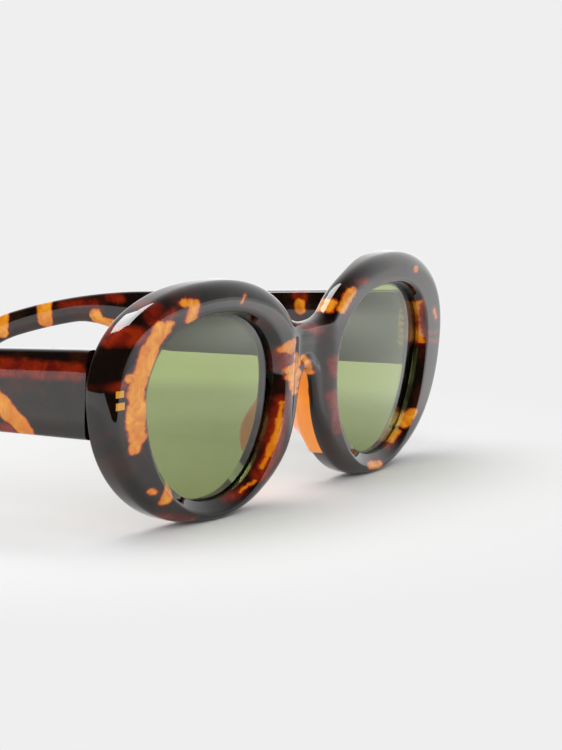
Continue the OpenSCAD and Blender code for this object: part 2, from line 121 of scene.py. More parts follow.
lens_thick = 2.0
lens_set_back = 2.6
groove_depth = 0.8
lens_gap = 0.06
lens_dome = 0.8
lens_hidden = 0.3
lens_rings = 12
pad_height = 5.4
pad_end_height = 0.8
pad_first = -4
pad_last = 5
pad_crest = 0.52
pad_swell = 0.35
pad_brow = 0.6
pad_lean = 1.0
pad_cuts = 36
pad_flank = ((0.35, 0.42), (0.72, 0.8))
pad_flank_swell = 0.05
pad_inside = ((0.08, 0.9), (0.12, 0.55))
temple_outer_x = 69.4
temple_mid_z = 5.6
temple_root_h = 18.1
temple_blade_taper = 2.9
temple_tail_h = 6.3
temple_root_t = 5.0
temple_tail_t = 3.3
blade_len = 66
step_len = 31
straight_len = 75
soft_bend_r = 160
soft_bend_len = 40
ear_bend_r = 38
ear_bend_angle = 30
temple_slope = math.radians(3.2)
temple_splay = math.radians(3)
temple_len = 153.549
tail_curl = 3.5
temple_round = 1.1
temple_round_share = 0.45
temple_full_len = 15
tip_round = 2.4
tip_turns = (15, 30, 45, 60, 72, 82)
tip_least_t = 0.3
shoulder_h = 5.4
shoulder_share = 0.42
shoulder_drop = 0.45
plate_skin = 0.12
butt_gap = 0.15
leaf_t = 1.0
plate_w = 5.4
plate_h = 7.9
knuckle_r = 1.55
knuckle_clear = 0.3
temple_leaf_len = 10
pocket_gap = 0.05
tumble_r = 0.06

# How finely the blade's cut and its length are drawn
corner_cuts = 6
side_cuts = 9
arm_cuts = 76


# Drawing helpers

def mix(a, b, f):
    return a + (b - a) * f


def clamp01(v):
    return max(0.0, min(1.0, v))


def ease(v):
    u = clamp01(v)
    return u * u * (3 - 2 * u)


def rise(c, power):
    return math.copysign(abs(c) ** (2 / power), c)


def quarter(f):
    return 1 - np.sqrt(np.clip(1 - np.clip(f, 0, 1) ** 2, 0, 1))


def oval(t, w_in, w_out, h, power, egg, lean, shift):
    c = rise(math.cos(math.radians(t)), power)
    v = rise(math.sin(math.radians(t)), power) * h
    u = c * (w_in if c < 0 else w_out)
    return np.array([eye_offset + u * (1 + egg * v) + lean * v + shift[0], v + shift[1]])


def eye_at(t):
    return oval(t, eye_half_w, eye_half_w, eye_half_h, eye_power, eye_egg, eye_lean, (0, 0))


def lip_at(t):
    half_w = eye_half_w + bevel_side
    return oval(t, half_w, half_w, eye_half_h + bevel_height, eye_power, eye_egg, eye_lean,
                (-bevel_nasal, -bevel_low))


def rim_at(t):
    return oval(t, rim_half_nasal, rim_half_temporal, rim_half_h, rim_power, rim_egg, rim_lean,
                (0, rim_rise))


def rim_angle(z):
    v = (z - rim_rise) / rim_half_h
    return 180 - math.degrees(math.asin(math.copysign(abs(v) ** (rim_power / 2), v)))


top_run = rim_angle(bridge_top + bridge_run_top)
top_cut = rim_angle(bridge_top)
low_cut = rim_angle(bridge_bottom)
low_run = rim_angle(bridge_bottom - bridge_run_bottom)


def cut_share(i):
    return (1 - math.cos(math.pi * (i - cut_first) / cut_steps)) / 2


def section_angle(i):
    """Angle round the opening at station i, from under the bridge round by the temple side."""
    if i < rim_steps:
        return low_run + (360 + top_run - low_run) * i / rim_steps
    if i < cut_first:
        return 360 + mix(top_run, top_cut, (i - rim_steps) / run_steps)
    if i < cut_last:
        return 360 + mix(top_cut, low_cut, cut_share(i))
    return 360 + mix(low_cut, low_run, (i - cut_last) / under_steps)


def run_out(t_from, z_to, f):
    """Curve that leaves the oval and arrives level at the middle plane."""
    p = rim_at(t_from)
    q = rim_at(t_from + 0.5)
    corner = np.array([p[0] + (z_to - p[1]) * (q[0] - p[0]) / (q[1] - p[1]), z_to])
    return p * (1 - f) ** 2 + corner * 2 * f * (1 - f) + np.array([0, z_to]) * f ** 2


def outline_at(i):
    if i < rim_steps:
        return rim_at(section_angle(i))
    if i <= cut_first:
        return run_out(top_run, bridge_top, (i - rim_steps) / run_steps)
    if i < cut_last:
        return np.array([0, mix(bridge_top, bridge_bottom, cut_share(i))])
    return run_out(low_run, bridge_bottom, (steps - i) / under_steps)


stations = [k / fineness for k in range(steps * fineness)]
outline = np.array([outline_at(i) for i in stations])
open_edges = [k for k, i in enumerate(stations) if i < cut_first or i >= cut_last]
edge_from = outline[open_edges]
edge_to = outline[[(k + 1) % len(stations) for k in open_edges]]


def edge_distance(points):
    """Distance of each point from the rim's outer edge."""
    along = edge_to - edge_from
    away = points[:, None, :] - edge_from[None, :, :]
    share = np.clip((away * along).sum(2) / (along * along).sum(1), 0, 1)
    return np.linalg.norm(away - along * share[:, :, None], axis=2).min(1)


def placed(x, z, y):
    """From the front's own plane to the frame, in metres."""
    d = y + x * x / (2 * front_curve_r)
    down = d * math.cos(front_tilt) - z * math.sin(front_tilt) - middle_y
    up = z * math.cos(front_tilt) + d * math.sin(front_tilt) + stand_height
    return Vector((x, down, up)) * MM


# Section of the front

def roll_width(i):
    t = section_angle(i)
    wide = mix(roll_side_w, roll_top_w, math.sin(math.radians(t)) ** 2)
    own = min(wide, roll_share * float(np.linalg.norm(outline_at(i) - lip_at(t))))
    if i < cut_first:
        toward = ease((i - rim_steps + bridge_lead) / (run_steps + bridge_lead))
    elif i <= cut_last:
        toward = 1
    else:
        toward = ease((steps - i) / under_steps)
    return mix(own, bridge_roll, toward)


def front_y(points, roll):
    d = edge_distance(points)
    down = np.clip((saddle_half_w - np.abs(points[:, 0])) / (saddle_half_w - saddle_flat_w), 0, 1)
    saddle = bridge_recess * mix(down, down * down * (3 - 2 * down), saddle_soft)
    crown = front_crown * np.clip(1 - d / crown_w, 0, 1) ** 2
    return roll_depth * quarter(1 - d / roll) + crown + saddle * np.clip(d / roll, 0, 1)


def back_y(points, i):
    d = edge_distance(points)
    a = section_angle(i) % 360
    nasal = ease(-nose_relief_gain * math.cos(math.radians(a)) - nose_relief_from)
    relief = nose_relief * nasal * ease((nose_relief_end - a) / relief_fade)
    near = 1 - np.array([ease(v / nose_relief_w) for v in d])
    return rim_depth - back_round * quarter(1 - d / back_round) - relief * near


def toward_edge(a, b, d):
    return a + (b - a) * (d / np.linalg.norm(b - a))


def rounded_lip(brink, lip, eye, i):
    """The polished edge between the front's face and the bevel round the lens."""
    y0, y1 = front_y(np.array([brink, lip]), roll_width(i))
    width = float(np.linalg.norm(eye - lip))
    share = lip_round / math.hypot(width, bevel_depth - y1)
    start = np.array([*brink, y0])
    corner = np.array([*lip, y1])
    end = mix(corner, np.array([*eye, bevel_depth]), share)
    shares = [k / lip_cuts for k in range(1, lip_cuts + 1)]
    return [placed(*mix(mix(start, corner, f), mix(corner, end, f), f)) for f in shares]


def front_section(i):
    """Closed loop: back inner corner, back face, rounded front, bevel, groove."""
    t = section_angle(i)
    e = eye_at(t)
    lip = lip_at(t)
    o = outline_at(i)
    g = toward_edge(e, o, groove_depth)
    chamfer = toward_edge(e, o, back_chamfer)
    y1 = lens_set_back
    y2 = lens_set_back + lens_thick + 2 * lens_gap
    back = np.array([mix(chamfer, o, math.sin(math.pi / 2 * k / back_steps))
                     for k in range(1, back_steps + 1)])
    brink = toward_edge(lip, o, lip_round)
    face = np.array([mix(brink, o, math.cos(math.pi / 2 * k / front_steps))
                     for k in range(front_steps + 1)])
    loop = [placed(e[0], e[1], rim_depth - back_chamfer), placed(chamfer[0], chamfer[1], rim_depth)]
    loop += [placed(p[0], p[1], y) for p, y in zip(back, back_y(back, i))]
    loop += [placed(p[0], p[1], y) for p, y in zip(face, front_y(face, roll_width(i)))]
    loop += rounded_lip(brink, lip, e, i)
    loop += [placed(e[0], e[1], bevel_depth), placed(e[0], e[1], y1), placed(g[0], g[1], y1)]
    loop += [placed(g[0], g[1], y2), placed(e[0], e[1], y2)]
    return loop


back_edge = back_steps + 1
front_edge = back_edge + 1
sections = [front_section(i) for i in stations]
loop_len = len(sections[0])


# Modelling helpers

def active(obj):
    bpy.ops.object.select_all(action="DESELECT")
    obj.select_set(True)
    bpy.context.view_layer.objects.active = obj
    return obj


def apply_modifier(obj, name, kind, **settings):
    active(obj)
    modifier = obj.modifiers.new(name, kind)
    for key, value in settings.items():
        setattr(modifier, key, value)
    bpy.ops.object.modifier_apply(modifier=modifier.name)


def outward(obj):
    active(obj)
    bpy.ops.object.mode_set(mode="EDIT")
    bpy.ops.mesh.select_all(action="SELECT")
    bpy.ops.mesh.remove_doubles(threshold=1e-7)
    bpy.ops.mesh.normals_make_consistent(inside=False)
    bpy.ops.object.mode_set(mode="OBJECT")


def smooth(obj, angle=35):
    active(obj)
    bpy.ops.object.shade_smooth_by_angle(angle=math.radians(angle))


def settle(obj, name):
    """Puts the piece's place into its mesh, and names it."""
    obj.data.transform(obj.matrix_world)
    obj.matrix_world = Matrix.Identity(4)
    obj.name = name
    obj.data.name = name
    return obj


def mirrored(obj, name):
    twin = obj.copy()
    twin.data = obj.data.copy()
    bpy.context.collection.objects.link(twin)
    twin.data.transform(Matrix.Scale(-1, 4, (1, 0, 0)))
    twin.data.flip_normals()
    return settle(twin, name)


def ring_of(rows, name):
    """A ring whose section changes all the way round."""
    bpy.ops.mesh.primitive_torus_add(major_segments=len(rows), minor_segments=len(rows[0]))
    obj = settle(bpy.context.object, name)
    for v, p in zip(obj.data.vertices, (p for row in rows for p in row)):
        v.co = p
    return obj


def select_faces(obj, wanted):
    active(obj)
    bpy.ops.object.mode_set(mode="EDIT")
    bpy.ops.mesh.select_mode(type="FACE")
    bpy.ops.mesh.select_all(action="DESELECT")
    bm = bmesh.from_edit_mesh(obj.data)
    bm.faces.ensure_lookup_table()
    for face in bm.faces:
        face.select = wanted(face)
    bmesh.update_edit_mesh(obj.data)


def to_next_ring(obj, before, after):
    """Moves each selected point from its place in one ring to the same place in the next."""
    bm = bmesh.from_edit_mesh(obj.data)
    old = np.array(before)
    for v in (v for v in bm.verts if v.select):
        nearest = int(((old - np.array(v.co)) ** 2).sum(1).argmin())
        v.co = after[nearest]
    bmesh.update_edit_mesh(obj.data)


def cut_pocket(obj, matrix, low, high):
    """Cuts a rectangular pocket, given by two corners in the axes of matrix, in millimetres."""
    size = Vector(high) - Vector(low)
    middle = (Vector(high) + Vector(low)) / 2
    bpy.ops.mesh.primitive_cube_add(size=1)
    cutter = bpy.context.object
    cutter.data.transform(Matrix.Diagonal((*(size * MM), 1)))
    cutter.data.transform(Matrix.Translation(middle * MM))
    cutter.data.transform(matrix)
    apply_modifier(obj, "pocket", "BOOLEAN", object=cutter, operation="DIFFERENCE", solver="EXACT")
    bpy.data.objects.remove(cutter)


# Front

def rim_back_axes(side):
    """Axes on the back of the rim, where the hinge plate is let in."""
    hinge_x = temple_outer_x - temple_root_t - knuckle_r - knuckle_clear
    plate_x = hinge_x + knuckle_r - plate_w / 2
    tilt = Matrix.Rotation(front_tilt, 4, "X")
    turn = tilt @ Matrix.Rotation(math.asin(plate_x / front_curve_r), 4, "Z")
    at = Matrix.Translation(placed(plate_x, temple_mid_z, rim_depth)) @ turn
    flip = Matrix.Scale(-1, 4, (1, 0, 0))
    return at if side > 0 else flip @ at @ flip


def make_front():
    obj = ring_of(sections, "rims_and_bridge")
    cut = range(cut_first * fineness, cut_last * fineness)
    wall = {(k * loop_len + back_edge, k * loop_len + front_edge) for k in cut}

    def in_cut(face):
        return any({a, b, a + loop_len, b + loop_len} == {v.index for v in face.verts} for a, b in wall)

    low = min(a for a, b in wall)
    high = max(b for a, b in wall) + loop_len
    select_faces(obj, lambda f: all(low <= v.index <= high for v in f.verts) and in_cut(f))
    bpy.ops.mesh.delete(type="FACE")
    bpy.ops.object.mode_set(mode="OBJECT")
    apply_modifier(obj, "other half", "MIRROR", use_mirror_merge=True, merge_threshold=1e-6)
    outward(obj)
    for side in (1, -1):
        cut_pocket(obj, rim_back_axes(side),
                   (-plate_w / 2 - pocket_gap, -leaf_t - pocket_gap, -plate_h / 2 - pocket_gap),
                   (plate_w / 2 + pocket_gap, leaf_t, plate_h / 2 + pocket_gap))
    apply_modifier(obj, "polished edges", "BEVEL", width=polish_r * MM, segments=4, limit_method="ANGLE",
                   angle_limit=math.radians(polish_angle))
    smooth(obj, 40)
    return obj


# Lenses

def lens_ring(share):
    """The lens's outline drawn in toward its middle, on its domed face."""
    middle = np.array([eye_offset, 0])
    depth = lens_set_back + lens_gap - lens_dome * (1 - share ** 2)
    ring = []
    for i in stations:
        edge = toward_edge(eye_at(section_angle(i)), outline_at(i), groove_depth + lens_hidden)
        p = mix(middle, edge, share)
        ring.append(placed(p[0], p[1], depth))
    return ring


def make_lens():
    """A tinted blank: a circle filled ring by ring, domed and thickened.

    It runs a little into the plastic, out of sight, so that no light passes round its edge.
    """
    rings = [lens_ring(1 - k / lens_rings) for k in range(lens_rings)]
    bpy.ops.mesh.primitive_circle_add(vertices=len(rings[0]), fill_type="NOTHING")
    obj = settle(bpy.context.object, "lens")
    for v, p in zip(obj.data.vertices, rings[0]):
        v.co = p
    active(obj)
    bpy.ops.object.mode_set(mode="EDIT")
    bpy.ops.mesh.select_all(action="SELECT")
    for before, after in zip(rings, rings[1:]):
        bpy.ops.mesh.extrude_edges_move()
        to_next_ring(obj, before, after)
    bpy.ops.mesh.extrude_edges_move()
    bpy.ops.mesh.merge(type="CENTER")
    bpy.ops.mesh.select_all(action="SELECT")
    bpy.ops.mesh.normals_make_consistent(inside=False)
    bpy.ops.object.mode_set(mode="OBJECT")
    if obj.data.polygons[0].normal.y < 0:
        obj.data.flip_normals()
    apply_modifier(obj, "thickness", "SOLIDIFY", thickness=lens_thick * MM, offset=1)
    outward(obj)
    smooth(obj, 35)
    return obj


# Nose pads

def wrapped(i):
    return i % steps


def pad_angle(i):
    return section_angle(wrapped(i)) % 360


def pad_rise(i):
    f = (pad_angle(i) - pad_angle(pad_first)) / (pad_angle(pad_last) - pad_angle(pad_first))
    return mix(pad_end_height, pad_height, math.sin(math.pi * clamp01(f) ** pad_lean))


def smooth_line(points, parts):
    """A smooth line through points, cut into parts between each two."""
    line = []
    for k in range(len(points) - 1):
        a = points[max(k - 1, 0)]
        b, c = points[k], points[k + 1]
        d = points[min(k + 2, len(points) - 1)]
        for n in range(parts):
            f = n / parts
            line.append(0.5 * (2 * b + (c - a) * f + (2 * a - 5 * b + 4 * c - d) * f ** 2
                               + (3 * b - a - 3 * c + d) * f ** 3))
    return line + [points[-1]]


def pad_section(i):
    """The seat follows the rim's back and nose side; the rest is free."""
    at = wrapped(i)
    h = pad_rise(i)
    e = eye_at(pad_angle(i))
    o = outline_at(at)
    w = float(np.linalg.norm(o - e))
    brow = float(back_y(np.array([o]), at)[0]) + pad_brow
    crest = rim_depth + h
    seat = front_section(at)[3:front_edge + 1]

    def free(share, y):
        p = mix(e, o, share)
        return placed(p[0], p[1], y)

    def flank(share, y):
        p = mix(e, o, share)
        return free(share, max(y, float(back_y(np.array([p]), at)[0]) + pad_brow))

    hull = [seat[-1], free(1 + pad_swell / w, brow)]
    for across, up in pad_flank:
        hull.append(flank(mix(1, pad_crest, across), mix(brow, crest, up) + pad_flank_swell * h))
    hull.append(free(pad_crest, crest))
    for inward, up in pad_inside:
        hull.append(free(pad_crest - inward, rim_depth + up * h))
    hull.append(seat[0])
    return seat + smooth_line(hull, 4)[1:-1]


def make_pad():
    """A ball drawn out along the rim: its poles close the two thin ends."""
    rows = [pad_section(mix(pad_first, pad_last, k / pad_cuts)) for k in range(pad_cuts + 1)]
    around = len(rows[0])
    bpy.ops.mesh.primitive_uv_sphere_add(segments=around, ring_count=len(rows) + 1, radius=1)
    obj = settle(bpy.context.object, "pad")
    for v in obj.data.vertices:
        polar = math.acos(max(-1, min(1, v.co.z)))
        row = round(polar / math.pi * (len(rows) + 1)) - 1
        turn = round((math.atan2(v.co.y, v.co.x) % (2 * math.pi)) / (2 * math.pi) * around) % around
        if row < 0 or row >= len(rows):
            end = rows[0] if row < 0 else rows[-1]
            v.co = sum(end, Vector()) / around
        else:
            v.co = rows[row][turn]
    outward(obj)
    smooth(obj, 60)
    return obj


# Temples

soft_turn = soft_bend_len / soft_bend_r
ear_turn = math.radians(ear_bend_angle)
ear_bend_len = ear_bend_r * ear_turn
ear_start = straight_len + soft_bend_len
tip_start = ear_start + ear_bend_len
arm_along = Vector((-math.sin(temple_splay) * math.cos(temple_slope),
                    math.cos(temple_splay) * math.cos(temple_slope), -math.sin(temple_slope)))
arm_out = Vector((math.cos(temple_splay), math.sin(temple_splay), 0))
arm_up = Vector((-math.sin(temple_splay) * math.sin(temple_slope),
                 math.cos(temple_splay) * math.sin(temple_slope), math.cos(temple_slope)))


def turn_at(s):
    return clamp01((s - straight_len) / soft_bend_len) * soft_turn \
        + clamp01((s - ear_start) / ear_bend_len) * ear_turn


def arc_end(start, r, a0, a1):
    return start + np.array([r * (math.sin(a1) - math.sin(a0)), r * (math.cos(a1) - math.cos(a0))])


def top_at(s):
    """Upper edge of a temple, along it and up, in its own plane."""
    a = turn_at(s)
    straight = np.array([straight_len, temple_root_h / 2])
    soft = arc_end(straight, soft_bend_r, 0, soft_turn)
    ear = arc_end(soft, ear_bend_r, soft_turn, soft_turn + ear_turn)
    if s <= straight_len:
        return np.array([s, temple_root_h / 2])
    if s <= ear_start:
        return arc_end(straight, soft_bend_r, 0, a)
    if s <= tip_start:
        return arc_end(soft, ear_bend_r, soft_turn, a)
    return ear + (s - tip_start) * np.array([math.cos(a), -math.sin(a)])


def blade_h(s):
    root = temple_root_h - temple_blade_taper * clamp01(s / blade_len)
    return mix(root, temple_tail_h, ease((s - blade_len) / step_len))


def blade_t(s):
    return mix(temple_root_t, temple_tail_t, ease((s - temple_full_len) / (ear_start - temple_full_len)))


def curl_at(s):
    return tail_curl * clamp01((s - straight_len) / (tip_start - straight_len)) ** 2


def rim_back(x, z, gap):
    """How far back the rim's flat back reaches at x and height z, in millimetres."""
    d = rim_depth + gap + x * x / (2 * front_curve_r)
    up = (z - stand_height - d * math.sin(front_tilt)) / math.cos(front_tilt)
    return d * math.cos(front_tilt) - up * math.sin(front_tilt) - middle_y


arm_z = placed(temple_outer_x, temple_mid_z, rim_depth).z / MM
arm_origin = Vector((temple_outer_x, rim_back(temple_outer_x, arm_z, butt_gap), arm_z))


def oblong(h, t, around):
    """Points round the blade's cut: up and across from its middle, with four round corners."""
    points = []
    for turn, (up, out) in enumerate(((1, 1), (1, -1), (-1, -1), (-1, 1))):
        start = 90 * turn
        for k in range(corner_cuts):
            a = math.radians(start + 90 * k / (corner_cuts - 1))
            points.append((up * (h / 2 - around) + around * math.sin(a),
                           out * (t / 2 - around) + around * math.cos(a)))
        if turn in (1, 3):
            last = points[-1]
            far = -last[0]
            points += [(mix(last[0], far, k / side_cuts), last[1]) for k in range(1, side_cuts)]
    return points


def shoulder(v, h):
    """How far the side draws in toward the blade's upper and lower edge."""
    reach = min(shoulder_h, shoulder_share * h)
    return shoulder_drop * reach / shoulder_h * clamp01((abs(v) - h / 2 + reach) / reach) ** 2


def arm_ring(s, shrink=1.0):
    """The blade's rounded cut at s, in metres."""
    a = turn_at(s)
    h = blade_h(s)
    t = blade_t(s)
    mid = top_at(s) - h / 2 * np.array([math.sin(a), math.cos(a)])
    hs = h * shrink
    ts = t * mix(tip_least_t, 1, shrink)
    ring = []
    for v, n in oblong(hs, ts, min(temple_round, temple_round_share * min(hs, ts))):
        side = n / (ts / 2)
        n -= side * shoulder(v, hs)
        if side < 0:
            n -= plate_skin * ease((2 * temple_leaf_len - s) / temple_leaf_len)
        along = float(mid[0] + v * math.sin(a))
        height = float(mid[1] + v * math.cos(a))
        p = arm_origin + arm_along * along + arm_up * height
        ring.append((p + (n - t / 2 - curl_at(s)) * arm_out) * MM)
    return ring


def butt_ring():
    return [Vector((p.x, rim_back(p.x / MM, p.z / MM, butt_gap) * MM, p.z)) for p in arm_ring(0)]


def arm_rings():
    rings = [butt_ring()]
    rings += [arm_ring((temple_len - tip_round) * k / arm_cuts) for k in range(1, arm_cuts + 1)]
    for a in map(math.radians, tip_turns):
        rings.append(arm_ring(temple_len - tip_round * (1 - math.sin(a)), math.cos(a)))
    return rings


def make_temple():
    """A flat outline drawn out of its butt face station by station."""
    rings = arm_rings()
    bpy.ops.mesh.primitive_circle_add(vertices=len(rings[0]), fill_type="NGON")
    obj = settle(bpy.context.object, "temple")
    for v, p in zip(obj.data.vertices, rings[0]):
        v.co = p
    active(obj)
    bpy.ops.object.mode_set(mode="EDIT")
    bpy.ops.mesh.select_mode(type="FACE")
    bpy.ops.mesh.select_all(action="SELECT")
    for before, after in zip(rings, rings[1:]):
        bpy.ops.mesh.extrude_region_move()
        to_next_ring(obj, before, after)
    bpy.ops.mesh.select_all(action="SELECT")
    bpy.ops.mesh.normals_make_consistent(inside=False)
    bpy.ops.object.mode_set(mode="OBJECT")
    smooth(obj, 40)
    return obj


# Hinge metal

def make_hinge_piece(node, name):
    """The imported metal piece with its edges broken, as tumbled brass has."""
    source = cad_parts[node]
    obj = bpy.data.objects.new(name, source.data.copy())
    bpy.context.collection.objects.link(obj)
    obj.data.materials.clear()
    outward(obj)
    apply_modifier(obj, "flat faces", "DECIMATE", decimate_type="DISSOLVE", angle_limit=math.radians(1))
    apply_modifier(obj, "broken edges", "BEVEL", width=tumble_r * MM, segments=2, limit_method="ANGLE",
                   angle_limit=math.radians(30))
    smooth(obj, 30)
    return obj


# Camera

azimuth = math.radians(-59)
elevation = math.radians(7.797)
aim_distance = 579.6 * MM
focal_px = 2660.36
frame_w = 562
frame_h = 750
aim_px = (312.62, 388.82)
aim_point = Vector((0, -middle_y, stand_height)) * MM

view_back = Vector((math.sin(azimuth) * math.cos(elevation), -math.cos(azimuth) * math.cos(elevation),
                    math.sin(elevation)))
view_right = Vector((math.cos(azimuth), math.sin(azimuth), 0))
view_up = view_back.cross(view_right)
side_step = (aim_px[0] - frame_w / 2) * aim_distance / focal_px
up_step = (frame_h / 2 - aim_px[1]) * aim_distance / focal_px
camera_place = aim_point + view_back * aim_distance - view_right * side_step - view_up * up_step


def make_camera():
    data = bpy.data.cameras.new("camera")
    camera = bpy.data.objects.new("camera", data)
    bpy.context.collection.objects.link(camera)
    turn = Matrix((view_right, view_up, view_back)).transposed().to_4x4()
    camera.matrix_world = Matrix.Translation(camera_place) @ turn
    data.sensor_fit = "AUTO"
    data.sensor_width = 36
    data.lens = focal_px * data.sensor_width / frame_h
    data.clip_start = 0.01
    bpy.context.scene.camera = camera


def surface_of(piece):
    """The faces of a piece, for finding the place on it at a pixel."""
    mesh = piece.data
    return BVHTree.FromPolygons([v.co for v in mesh.vertices], [tuple(f.vertices) for f in mesh.polygons])


def seen_at(surface, pixel):
    """Where a pixel of the photograph falls on a piece, in metres."""
    across = view_right * (pixel[0] - frame_w / 2)
    down = view_up * (frame_h / 2 - pixel[1])
    return surface.ray_cast(camera_place, (across + down - view_back * focal_px).normalized())[0]


make_camera()


# Material helpers

def new_material(name):
    material = bpy.data.materials.new(name)
    material.use_nodes = True
    tree = material.node_tree
    tree.nodes.clear()
    output = tree.nodes.new("ShaderNodeOutputMaterial")
    shader = tree.nodes.new("ShaderNodeBsdfPrincipled")
    tree.links.new(shader.outputs[0], output.inputs["Surface"])
    return material, tree, shader


def coordinates(tree):
    return tree.nodes.new("ShaderNodeTexCoord").outputs["Object"]


def math_node(tree, operation, a, b=None):
    node = tree.nodes.new("ShaderNodeMath")
    node.operation = operation
    for socket, value in zip(node.inputs, (a, b)):
        if value is None:
            continue
        if isinstance(value, (int, float)):
            socket.default_value = value
        else:
            tree.links.new(value, socket)
    return node.outputs[0]


def vector_node(tree, operation, a, b=None):
    node = tree.nodes.new("ShaderNodeVectorMath")
    node.operation = operation
    for socket, value in zip(node.inputs, (a, b)):
        if isinstance(value, bpy.types.NodeSocket):
            tree.links.new(value, socket)
        elif value is not None:
            socket.default_value = value
    return node.outputs["Value" if operation in ("LENGTH", "DOT_PRODUCT") else "Vector"]


def scaled(tree, vector, amount):
    node = tree.nodes.new("ShaderNodeVectorMath")
    node.operation = "SCALE"
    tree.links.new(vector, node.inputs[0])
    if isinstance(amount, bpy.types.NodeSocket):
        tree.links.new(amount, node.inputs["Scale"])
    else:
        node.inputs["Scale"].default_value = amount
    return node.outputs["Vector"]


def parted(tree, vector):
    node = tree.nodes.new("ShaderNodeSeparateXYZ")
    tree.links.new(vector, node.inputs[0])
    return node.outputs


def noise(tree, vector, scale, detail=2, roughness=0.5, distortion=0.0):
    node = tree.nodes.new("ShaderNodeTexNoise")
    node.inputs["Scale"].default_value = scale
    node.inputs["Detail"].default_value = detail
    node.inputs["Roughness"].default_value = roughness
    node.inputs["Distortion"].default_value = distortion
    tree.links.new(vector, node.inputs["Vector"])
    return node


def between(tree, value, low, high, out_low=0.0, out_high=1.0):
    node = tree.nodes.new("ShaderNodeMapRange")
    node.interpolation_type = "SMOOTHSTEP"
    tree.links.new(value, node.inputs["Value"])
    node.inputs["From Min"].default_value = low
    node.inputs["From Max"].default_value = high
    node.inputs["To Min"].default_value = out_low
    node.inputs["To Max"].default_value = out_high
    return node.outputs["Result"]


def mix_colour(tree, factor, a, b):
    node = tree.nodes.new("ShaderNodeMix")
    node.data_type = "RGBA"
    tree.links.new(factor, node.inputs[0])
    for socket, value in ((node.inputs[6], a), (node.inputs[7], b)):
        if isinstance(value, tuple):
            socket.default_value = (*value, 1)
        else:
            tree.links.new(value, socket)
    return node.outputs[2]


# Materials

near_black = (0.006, 0.003, 0.002)
deep_brown = (0.045, 0.008, 0.003)
maroon = (0.11, 0.006, 0.004)
burnt_red = (0.30, 0.022, 0.003)
amber = (0.76, 0.21, 0.006)
honey = (1.0, 0.43, 0.03)
stud_gold = (0.78, 0.36, 0.03)

# How the colours of a sheet are stirred: how fine each swirl is, and its push in millimetres
swirls = ((230, 1.2), (900, 0.6))

# From the edge of an amber patch to its middle: where each of its three colours comes in
patch_edges = ((0.12, 0.45), (0.35, 0.65), (0.55, 0.95))


def new_group(name, inputs, output):
    """A shader node group, with (name, kind) for each of its inputs and for its one output."""
    group = bpy.data.node_groups.new(name, "ShaderNodeTree")
    for label, kind in inputs:
        group.interface.new_socket(label, in_out="INPUT", socket_type="NodeSocket" + kind)
    group.interface.new_socket(output[0], in_out="OUTPUT", socket_type="NodeSocket" + output[1])
    given = group.nodes.new("NodeGroupInput").outputs
    result = group.nodes.new("NodeGroupOutput").inputs[output[0]]
    return group, given, result


def stroke_group():
    """A soft-edged stroke between two points: 1 inside its radius and 0 outside."""
    inputs = [(name, "Vector") for name in ("Vector", "Start", "End")]
    inputs += [(name, "Float") for name in ("Radius", "Softness")]
    group, given, result = new_group("stroke", inputs, ("Mask", "Float"))
    away = vector_node(group, "SUBTRACT", given["Vector"], given["Start"])
    along = vector_node(group, "SUBTRACT", given["End"], given["Start"])
    reach = math_node(group, "DIVIDE", vector_node(group, "DOT_PRODUCT", away, along),
                      vector_node(group, "DOT_PRODUCT", along, along))
    share = math_node(group, "MINIMUM", math_node(group, "MAXIMUM", reach, 0.0), 1.0)
    foot = scaled(group, along, share)
    gap = vector_node(group, "LENGTH", vector_node(group, "SUBTRACT", away, foot))
    ratio = math_node(group, "DIVIDE", math_node(group, "SUBTRACT", given["Radius"], gap), given["Softness"])
    group.links.new(between(group, ratio, -1.0, 1.0), result)
    return group


def grain_group():
    """Coordinates in millimetres, stirred as the colours are in a sheet of tortoise plastic."""
    group, given, result = new_group("stirred millimetres", [("Vector", "Vector")], ("Vector", "Vector"))
    size = scaled(group, given["Vector"], 1 / MM)
    for scale, amount in swirls:
        swirl = noise(group, given["Vector"], scale)
        push = vector_node(group, "SUBTRACT", swirl.outputs["Color"], (0.5, 0.5, 0.5))
        size = vector_node(group, "ADD", size, scaled(group, push, amount))
    group.links.new(size, result)
    return group


def tortoise_group():
    """From masks of amber and red to the colour of the plastic, streaked inside the amber."""
    inputs = [("Vector", "Vector"), ("Amber", "Float"), ("Red", "Float")]
    group, given, result = new_group("tortoise colour", inputs, ("Color", "Color"))
    streak = noise(group, given["Vector"], 260, 3, 0.6, 0.8)
    warm = mix_colour(group, between(group, streak.outputs["Fac"], 0.35, 0.7), amber, honey)
    murk = noise(group, given["Vector"], 90, 3, 0.6, 0.4)
    dark = mix_colour(group, between(group, murk.outputs["Fac"], 0.48, 0.72), near_black, deep_brown)
    flame = mix_colour(group, between(group, streak.outputs["Fac"], 0.3, 0.7), maroon, burnt_red)
    colour = mix_colour(group, given["Red"], dark, flame)
    grit = noise(group, given["Vector"], 700, 4, 0.65, 0.5)
    ragged = math_node(group, "MULTIPLY", math_node(group, "SUBTRACT", grit.outputs["Fac"], 0.5), 0.7)
    patch = math_node(group, "ADD", given["Amber"], ragged)
    for (low, high), layer in zip(patch_edges, (burnt_red, amber, warm)):
        colour = mix_colour(group, between(group, patch, low, high), colour, layer)
    group.links.new(colour, result)
    return group


def cloud_group():
    """Large amber clouds for the places that the strokes leave open."""
    inputs = [("Vector", "Vector"), ("Share", "Float")]
    group, given, result = new_group("tortoise clouds", inputs, ("Mask", "Float"))
    cloud = noise(group, given["Vector"], 60, 3, 0.5, 0.5)
    low = math_node(group, "SUBTRACT", 1.0, given["Share"])
    over = math_node(group, "SUBTRACT", cloud.outputs["Fac"], low)
    group.links.new(between(group, over, -0.02, 0.05), result)
    return group


